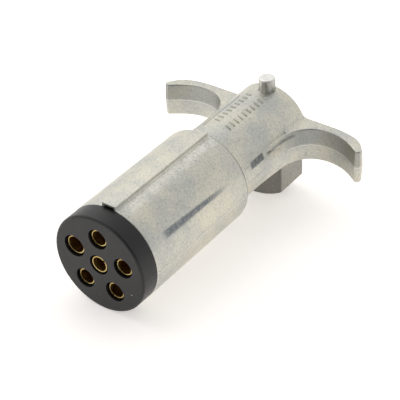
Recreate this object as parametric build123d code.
from build123d import *
import os
from math import cos, radians, sin, sqrt

# Six-pole round trailer plug, for the trailer's end of the cable.
# The origin is the centre of the plug's front face, on the axis of its barrel.
# +Y runs from the face to the cable end, +Z is up through the key, all in millimetres.

# Cuts run past the faces they open
past = 1.0
far = 30.0

# Front barrel, the part that enters the socket
barrel_r = 21.1
barrel_bore_r = 18.6
cap_depth = 8.35
barrel_end_y = 67.6
shoulder_round = 0.7
bore_end_y = 63.0
front_edge = 0.35

# Rear body, finger wings and cable outlet
body_r = 17.3
chamber_r = 15.0
chamber_start_y = 66.6
chamber_end_y = 98.0
rear_y = 116.8
rear_edge = 0.5
cable_r = 6.5
wing_mid_z = -0.5
wing_half_height = 7.5
wing_draft = 3.0
wing_rim_round = 0.6
root_x = 16.5
root_y = 86.0
root_run_out = 6.0
root_fillet = 2.2
root_round_y = 102.0
seam_z = wing_mid_z - wing_half_height

# Key on top of the barrel, hollow so that the insert's rib runs in it
key_half_width = 3.1
key_top_z = 22.65
key_wall = 0.75
key_end_y = 66.6
key_edge = 0.25
key_fillet = 0.5

# Casting lines
flash_height = 0.12
flash_width = 0.3
ridge_angle = 120.0
ridge_start_y = 79.0
ridge_end_y = 105.0

# Cable clamp under the rear body
clamp_half_width = 15.5
clamp_front_y = 99.7
clamp_rear_y = 116.6
clamp_bottom_r = 26.8
clamp_seam = 0.2
clamp_edge = 0.6
clamp_corner = 0.8
clamp_front_round = 0.5
tongue_half_width = 6.5
tongue_side_gap = 0.2
tongue_top_z = -3.0

# Clamp screws, M4 cheese head, driven from below
clamp_screw_x = 11.0
clamp_screw_y = 108.2
clamp_screw_r = 2.0
clamp_head_r = 3.4
clamp_head_height = 2.6
clamp_head_seat_z = -19.5
clamp_screw_tip_z = 3.5
clamp_hole_end_z = 5.0
clamp_slot_depth = 1.2
screw_slack = 0.15
head_slack = 0.3

# Stud on top of the rear body
stud_y = 112.9
stud_r = 3.4
stud_top_z = 22.65
stud_foot_r = 3.7
stud_foot_z = 17.7
stud_shank_r = 2.4
stud_edge = 0.6
stud_seat_z = 14.2

# Contact insert: a front cap and a rear block that trap the terminals' collars
cap_r = 20.95
neck_r = 18.5
cap_round = 1.0
split_y = 22.0
block_end_y = 46.0
rib_half_width = 2.1
rib_top_z = 20.9
rib_end_y = 44.0

# Terminals: one in the middle and five on a circle
circle_r = 12.0
first_angle = 88.0
ring_names = ["top", "ground", "lower_left", "lower_right", "right"]
tube_r = 3.45
tube_bore_r = 3.05
hole_r = 4.25
ground_extra_r = 0.45
guide_y = 19.0
tube_front_y = 1.1
centre_front_y = 0.5
collar_r = 4.7
collar_end_y = 24.8
wire_barrel_r = 3.4
wire_hole_r = 2.0
wire_hole_depth = 12.0
ring_end_y = 54.0
centre_end_y = 62.0
slit_width = 0.6
slit_length = 14.0
slit_angle = 45.0
fit_gap = 0.05

# Terminal clamp screws
wire_screw_r = 1.5
wire_screw_head_r = 2.3
wire_screw_head_height = 1.1
wire_screw_shank = 3.2
wire_screw_from_end = 4.0
slot_width = 0.8
slot_depth = 0.6

# Two screws that hold the cap and the block together
joining_circle_r = 13.4
joining_screw_r = 1.45
joining_head_r = 2.7
joining_head_height = 2.0
joining_tip_y = 14.0

# Set screw that holds the insert in the barrel
set_screw_y = 30.0
set_screw_r = 2.0
set_screw_tip_r = 15.8
set_screw_outer_r = 20.6
set_slot_depth_r = 15.4
set_slot_start_y = 26.0
set_screw_edge = 0.4


def rod(radius, y0, y1):
    """A round bar along Y between two depths."""
    bar = Cylinder(radius, y1 - y0, align=(Align.CENTER, Align.CENTER, Align.MIN))
    return Pos(0, y0, 0) * Rot(-90, 0, 0) * bar


def spoke(radius, r0, r1, angle, y):
    """A round bar that runs outward from the axis at an angle, between two radii."""
    bar = Cylinder(radius, r1 - r0, align=(Align.CENTER, Align.CENTER, Align.MIN))
    return Pos(0, y, 0) * Rot(0, 90 - angle, 0) * Pos(0, 0, r0) * bar


def post(radius, x, y, z0, z1):
    """A round bar along Z between two heights."""
    bar = Cylinder(radius, z1 - z0, align=(Align.CENTER, Align.CENTER, Align.MIN))
    return Pos(x, y, z0) * bar


def block(x0, x1, y0, y1, z0, z1):
    """A box between two corners."""
    size = Box(x1 - x0, y1 - y0, z1 - z0, align=(Align.MIN, Align.MIN, Align.MIN))
    return Pos(x0, y0, z0) * size


def on_circle(radius, angle):
    """The place at an angle around the axis, counted from +X towards +Z."""
    return Pos(radius * cos(radians(angle)), 0, radius * sin(radians(angle)))


def ring_angle(index):
    """The angle of one of the five outer terminals."""
    return first_angle + index * 360 / len(ring_names)


def turned_outside():
    """The barrel with its shoulder and the slimmer rear body, without hollows."""
    half_section = make_face(Polyline(
        (0, cap_depth),
        (barrel_r - front_edge, cap_depth),
        (barrel_r, cap_depth + front_edge),
        (barrel_r, barrel_end_y),
        (body_r, barrel_end_y),
        (body_r, rear_y - rear_edge),
        (body_r - rear_edge, rear_y),
        (0, rear_y),
        close=True,
    ))
    shoulder = half_section.vertices().sort_by_distance((barrel_r, barrel_end_y))[0]
    return revolve(fillet(shoulder, shoulder_round), Axis.Y)


def turned_inside():
    """The barrel's bore, its taper and the wire chamber behind it."""
    bore = Polyline(
        (0, cap_depth - past),
        (barrel_bore_r, cap_depth - past),
        (barrel_bore_r, bore_end_y),
        (chamber_r, chamber_start_y),
        (chamber_r, chamber_end_y),
        (0, chamber_end_y),
        close=True,
    )
    return revolve(make_face(bore), Axis.Y)


def key_outside():
    """The raised key, which stops just short of the barrel's shoulder."""
    key = block(-key_half_width, key_half_width, cap_depth, key_end_y, body_r, key_top_z)
    rim = key.faces().sort_by(Axis.Z)[-1].edges()
    key = fillet(rim.filter_by(Axis.Y) + rim.sort_by(Axis.Y)[-1:], key_edge)
    hollow_x = key_half_width + key_fillet
    hollow_z = sqrt((barrel_r + key_fillet) ** 2 - hollow_x**2)
    foot = block(0, hollow_x, cap_depth, key_end_y, body_r, hollow_z)
    foot -= Pos(hollow_x, 0, hollow_z) * rod(key_fillet, 0, rear_y)
    foot &= rod(barrel_r + key_fillet, 0, rear_y)
    return key + foot + mirror(foot, Plane.YZ)


def flash_lines():
    """The thin casting lines where the two halves of the mould met, and one on the upper left."""
    low = wing_mid_z - flash_width / 2
    high = wing_mid_z + flash_width / 2
    line = block(0, barrel_r + flash_height, cap_depth + past, barrel_end_y - past, low, high)
    line += block(0, body_r + flash_height, barrel_end_y - past, root_y, low, high)
    upper_left = block(0, body_r + 2 * flash_height, ridge_start_y, ridge_end_y, low, high)
    return line + mirror(line, Plane.YZ) + Rot(0, -ridge_angle, 0) * upper_left


def root_round():
    """The concave round between the rear body and the top of the right wing."""
    height = wing_mid_z + wing_half_height
    hollow_z = height + root_fillet
    hollow_x = sqrt((body_r + root_fillet) ** 2 - hollow_z**2)
    touch = body_r / (body_r + root_fillet)
    end_y = rear_y - rear_edge
    strip = block(chamber_r, hollow_x, root_round_y, end_y, height - past, touch * hollow_z)
    return strip - Pos(hollow_x, 0, hollow_z) * rod(root_fillet, 0, rear_y)


def wing_plan():
    """A wing seen from above, with a root that grows slowly out of the body's side."""
    inner = Spline(
        (root_x, root_y),
        (17.1, 95.0),
        (19.0, 104.8),
        (24.2, 110.2),
        (31.0, 111.8),
        (38.5, 110.3),
        (46.7, 105.4),
        tangents=[(0.05, 1.0), (1.0, -0.68)],
    )
    tip = ThreePointArc(inner @ 1, (48.3, 106.0), (48.3, 109.2))
    outer = Spline(
        tip @ 1,
        (43.7, 113.9),
        (34.2, 116.5),
        (24.0, rear_y),
        tangents=[(-0.62, 0.78), (-1.0, 0.0)],
    )
    front = root_y - root_run_out
    root = Polyline(outer @ 1, (0, rear_y), (0, front), (chamber_r, front), inner @ 0)
    return make_face(inner + tip + outer + root)


def wing():
    """The right wing: two equal halves that meet at the mould's parting plane."""
    half = extrude(wing_plan(), wing_half_height, taper=wing_draft)
    rim = half.faces().sort_by(Axis.Z)[-1].edges().filter_by(GeomType.LINE, reverse=True)
    half = fillet(rim, wing_rim_round)
    slab = Pos(0, 0, wing_mid_z) * (half + mirror(half, Plane.XY))
    return slab + root_round()


def housing():
    """The zinc casting: barrel, key, rear body and both wings in one piece."""
    right_wing = wing()
    shell = turned_outside() + key_outside() + flash_lines()
    shell += right_wing + mirror(right_wing, Plane.YZ)
    shell -= turned_inside()
    keyway_half = key_half_width - key_wall
    shell -= block(-keyway_half, keyway_half, 0, bore_end_y, 0, key_top_z - key_wall)
    shell -= rod(cable_r, chamber_end_y - past, rear_y + past)
    slot_half = tongue_half_width + tongue_side_gap
    clamp_room_y = clamp_front_y - clamp_seam
    slot_top_z = tongue_top_z + past
    shell -= block(-slot_half, slot_half, clamp_room_y, rear_y + past, -far, slot_top_z)
    shell -= block(-far, far, clamp_room_y, rear_y + past, -far, seam_z)
    for x in (-clamp_screw_x, clamp_screw_x):
        shell -= post(clamp_screw_r + fit_gap, x, clamp_screw_y, seam_z - past, clamp_hole_end_z)
    shell -= spoke(set_screw_r + fit_gap, barrel_bore_r - past, barrel_r + past, 270, set_screw_y)
    shell -= post(stud_shank_r, 0, stud_y, stud_seat_z, body_r + past)
    return shell


def rear_stud():
    """The round stud, pressed into a blind hole on top of the rear body."""
    stud = post(stud_r, 0, stud_y, stud_foot_z, stud_top_z)
    stud = fillet(stud.edges().sort_by(Axis.Z)[-1], stud_edge)
    stud += post(stud_foot_r, 0, stud_y, body_r - past, stud_foot_z)
    stud -= rod(body_r, stud_y - far, stud_y + far)
    return stud + post(stud_shank_r, 0, stud_y, stud_seat_z, body_r + 0.2)


def face_cap():
    """The front half of the insulator: a thick round face and a short neck in the barrel."""
    face = fillet(rod(cap_r, 0, cap_depth).edges().sort_by(Axis.Y)[0], cap_round)
    cap = face + rod(neck_r, cap_depth, split_y)
    cap += block(-rib_half_width, rib_half_width, cap_depth, split_y, 0, rib_top_z)
    for name, angle, radius, extra in terminal_places():
        place = on_circle(radius, angle)
        cap -= place * rod(hole_r + extra, -past, guide_y)
        cap -= place * rod(tube_r + extra + fit_gap, guide_y - past, split_y + past)
    for angle in joining_angles():
        tapped = rod(joining_screw_r, joining_tip_y, split_y + past)
        cap -= on_circle(joining_circle_r, angle) * tapped
    return cap


def terminal_block():
    """The rear half of the insulator, with a slot that runs over the set screw's tip."""
    body = rod(neck_r, split_y, block_end_y)
    body += block(-rib_half_width, rib_half_width, split_y, rib_end_y, 0, rib_top_z)
    for name, angle, radius, extra in terminal_places():
        place = on_circle(radius, angle)
        body -= place * rod(collar_r + extra + fit_gap, split_y - past, collar_end_y)
        body -= place * rod(wire_barrel_r + fit_gap, split_y, block_end_y + past)
    for angle in joining_angles():
        through = rod(joining_screw_r + screw_slack, split_y - past, block_end_y + past)
        body -= on_circle(joining_circle_r, angle) * through
    slot_half = set_screw_r + screw_slack
    slot_end_y = block_end_y + past
    body -= block(-slot_half, slot_half, set_slot_start_y, slot_end_y, -barrel_r, -set_slot_depth_r)
    return body


def terminal_places():
    """Name, angle, circle radius and extra tube radius of each terminal."""
    places = [("centre", first_angle, 0.0, 0.0)]
    for index, name in enumerate(ring_names):
        extra = ground_extra_r if name == "ground" else 0.0
        places.append((name, ring_angle(index), circle_r, extra))
    return places


def joining_angles():
    """The angles of the two joining screws, half way between neighbouring terminals."""
    half_step = 180 / len(ring_names)
    return [ring_angle(0) + half_step, ring_angle(3) + half_step]


def terminal(angle, radius, extra):
    """A brass terminal: slit socket tube, trapped collar, and a barrel for the wire."""
    front = centre_front_y if radius == 0 else tube_front_y
    end = centre_end_y if radius == 0 else ring_end_y
    pin = rod(tube_r + extra, front, split_y) + rod(collar_r + extra, split_y, collar_end_y)
    pin += rod(wire_barrel_r, collar_end_y, end)
    pin -= rod(tube_bore_r + extra, front - past, split_y)
    pin -= rod(wire_hole_r, end - wire_hole_depth, end + past)
    half = slit_width / 2
    slit = block(0, collar_r + past, front - past, front + slit_length, -half, half)
    pin -= Rot(0, -slit_angle, 0) * slit
    pin -= spoke(wire_screw_r + fit_gap, 0, collar_r, angle, end - wire_screw_from_end)
    return on_circle(radius, angle) * pin


def wire_screw(angle, radius):
    """A slotted screw across a terminal's wire barrel, backed out to let a wire in."""
    end = centre_end_y if radius == 0 else ring_end_y
    y = end - wire_screw_from_end
    tip = radius + wire_hole_r - fit_gap
    seat = tip + wire_screw_shank
    top = seat + wire_screw_head_height
    screw = spoke(wire_screw_r, tip, seat, angle, y)
    screw += spoke(wire_screw_head_r, seat, top, angle, y)
    half = slot_width / 2
    reach = wire_screw_head_r + past
    slot = block(-half, half, -reach, reach, top - slot_depth, top + past)
    return screw - Pos(0, y, 0) * Rot(0, 90 - angle, 0) * slot


def joining_screw(angle):
    """A long slotted screw that pulls the rear block onto the cap."""
    top = block_end_y + joining_head_height
    screw = rod(joining_screw_r, joining_tip_y, block_end_y)
    screw += rod(joining_head_r, block_end_y, top)
    half = slot_width / 2
    reach = joining_head_r + past
    screw -= block(-reach, reach, top - slot_depth, top + past, -half, half)
    return on_circle(joining_circle_r, angle) * screw


def set_screw():
    """The headless slotted screw through the barrel's wall."""
    screw = spoke(set_screw_r, set_screw_tip_r, set_screw_outer_r, 270, set_screw_y)
    screw = chamfer(screw.edges().sort_by(Axis.Z)[-1], set_screw_edge)
    y0 = set_screw_y - slot_width / 2
    y1 = set_screw_y + slot_width / 2
    reach = set_screw_r + past
    return screw - block(-reach, reach, y0, y1, -barrel_r, slot_depth - set_screw_outer_r)


def cable_clamp():
    """The saddle under the cable: flat top, round bottom and a tongue into the outlet."""
    top_z = seam_z - clamp_seam
    half = clamp_half_width
    saddle = block(-half, half, clamp_front_y, clamp_rear_y, -far, top_z)
    saddle &= rod(clamp_bottom_r, clamp_front_y, clamp_rear_y)
    saddle = fillet(saddle.edges().filter_by(Axis.Y).group_by(Axis.Z)[0], clamp_corner)
    rear_rim = saddle.faces().sort_by(Axis.Y)[-1].edges()
    saddle = chamfer(rear_rim.filter_by(lambda edge: edge.center().Z < top_z - past), clamp_edge)
    half = tongue_half_width
    saddle += block(-half, half, clamp_front_y, clamp_rear_y, top_z - past, tongue_top_z)
    saddle -= rod(cable_r, clamp_front_y - past, clamp_rear_y + past)
    for side in (-1, 1):
        x = side * clamp_screw_x
        saddle -= post(clamp_screw_r + screw_slack, x, clamp_screw_y, -far, 0)
        saddle -= post(clamp_head_r + head_slack, x, clamp_screw_y, -far, clamp_head_seat_z)
    uprights = saddle.edges().filter_by(Axis.Z).group_by(Axis.Y)[0].sort_by(Axis.X)
    return fillet([uprights[0], uprights[-1]], clamp_front_round)


def clamp_screw(side):
    """A slotted cheese-head screw that pulls the saddle up against the cable."""
    x = side * clamp_screw_x
    head_z = clamp_head_seat_z - clamp_head_height
    screw = post(clamp_screw_r, x, clamp_screw_y, clamp_head_seat_z, clamp_screw_tip_z)
    screw += post(clamp_head_r, x, clamp_screw_y, head_z, clamp_head_seat_z)
    half = slot_width / 2
    reach = clamp_head_r + past
    slot = block(-reach, reach, -half, half, -past, clamp_slot_depth)
    return screw - Pos(x, clamp_screw_y, head_z) * slot


def build():
    """Every sub-part by its node name."""
    parts = {
        "housing": housing(),
        "rear_stud": rear_stud(),
        "face_cap": face_cap(),
        "terminal_block": terminal_block(),
        "insert_set_screw": set_screw(),
        "cable_clamp": cable_clamp(),
        "clamp_screw_left": clamp_screw(-1),
        "clamp_screw_right": clamp_screw(1),
    }
    for name, angle, radius, extra in terminal_places():
        parts["terminal_" + name] = terminal(angle, radius, extra)
        parts["wire_screw_" + name] = wire_screw(angle, radius)
    for number, angle in enumerate(joining_angles(), start=1):
        parts["joining_screw_" + str(number)] = joining_screw(angle)
    return parts


os.makedirs("parts", exist_ok=True)
for node, solid in build().items():
    export_step(solid, "parts/" + node + ".step")
